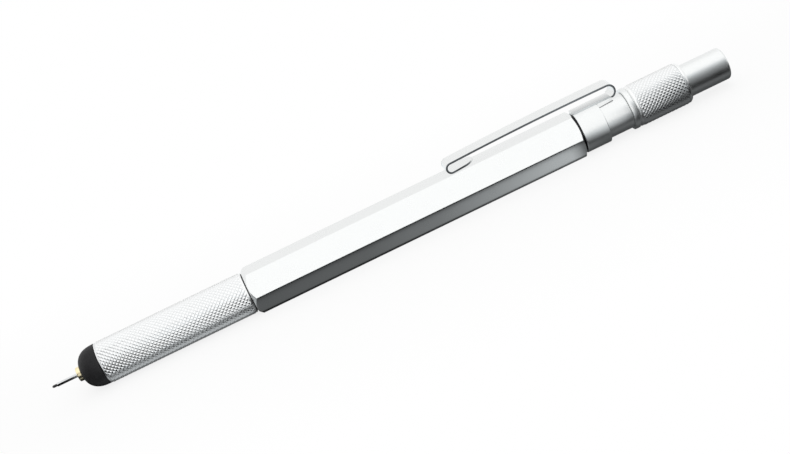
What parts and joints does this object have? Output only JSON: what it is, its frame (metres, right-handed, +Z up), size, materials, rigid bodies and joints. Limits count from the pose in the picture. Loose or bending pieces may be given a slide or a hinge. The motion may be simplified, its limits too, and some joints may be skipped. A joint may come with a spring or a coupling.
{
  "type": "stylus mechanical pencil",
  "caption": "Silver hexagonal mechanical pencil with knurled grip, rubber stylus dome, pocket clip, twist-retract tip and push-button lead feed.",
  "frame": {"origin": "on the barrel flat the pencil lies on, under the middle of its whole length", "axes": "+X along the pencil's axis from the tip to the push button, +Z up through the clip"},
  "size_m": [0.1382, 0.0094, 0.0111],
  "materials": {
    "satin_metal": "satin",
    "bright_steel": "polished",
    "brass": "gloss",
    "black_rubber": "matte",
    "white_rubber": "matte",
    "dark_plastic": "satin",
    "pale_plastic": "satin",
    "graphite": "satin"
  },
  "bodies": {
    "barrel": {"hex_barrel": "satin_metal", "knurled_grip": "satin_metal", "spacer_ring": "dark_plastic", "stylus_tip": "black_rubber", "nose_bush": "dark_plastic", "guide_sleeve": "bright_steel", "retaining_ring": "bright_steel", "clip_sleeve": "satin_metal", "clip_root": "satin_metal", "thrust_ring": "satin_metal", "retract_spring": "bright_steel"},
    "clip": {"clip_arm": "satin_metal"},
    "knob": {"twist_knob": "satin_metal"},
    "plunger": {"cam_tube": "dark_plastic", "eraser_ferrule": "bright_steel", "eraser": "white_rubber"},
    "cap": {"push_button": "satin_metal"},
    "cartridge": {"nose_cone": "brass", "lead_sleeve": "bright_steel", "lead_retainer": "black_rubber", "cartridge_tube": "brass", "chuck_spring": "bright_steel"},
    "feed": {"chuck": "brass", "lead_tank": "pale_plastic", "follower_collar": "brass", "follower_pin": "bright_steel"},
    "clutch": {"clutch_ring": "brass"},
    "lead": {"lead": "graphite"}
  },
  "joints": [
    {"name": "knob_twist", "type": "hinge", "parent": "barrel", "child": "knob", "pos_m": [0.055, 0, 0.0041], "axis": [1, 0, 0], "range_deg": [-180, 0]},
    {"name": "tip_travel", "type": "slide", "parent": "barrel", "child": "cartridge", "axis": [1, 0, 0], "range_m": [0, 0.0065], "deforming": ["retract_spring"]},
    {"name": "button_press", "type": "slide", "parent": "knob", "child": "plunger", "axis": [-1, 0, 0], "range_m": [0, 0.0022], "stiffness_N_per_m": 1200, "springref_m": -0.0015},
    {"name": "chuck_feed", "type": "slide", "parent": "cartridge", "child": "feed", "axis": [-1, 0, 0], "range_m": [0, 0.0022], "deforming": ["chuck_spring"]},
    {"name": "clutch_slip", "type": "slide", "parent": "cartridge", "child": "clutch", "axis": [-1, 0, 0], "range_m": [0, 0.0008]},
    {"name": "lead_feed", "type": "slide", "parent": "cartridge", "child": "lead", "axis": [-1, 0, 0], "range_m": [-0.001, 0.004]},
    {"name": "clip_flex", "type": "hinge", "parent": "barrel", "child": "clip", "pos_m": [0.04664, 0, 0.01089], "axis": [0, 1, 0], "range_deg": [0, 5], "stiffness_Nm_per_rad": 0.5, "springref_deg": -2.86},
    {"name": "cap_pull", "type": "slide", "parent": "plunger", "child": "cap", "axis": [1, 0, 0], "range_m": [0, 0.014]}
  ],
  "couplings": [
    {"joint": "knob_twist", "follows": "tip_travel", "rad_per_m": -483.32},
    {"joint": "chuck_feed", "follows": "button_press", "ratio": 1},
    {"joint": "clutch_slip", "follows": "button_press", "ratio": 0.3636}
  ]
}
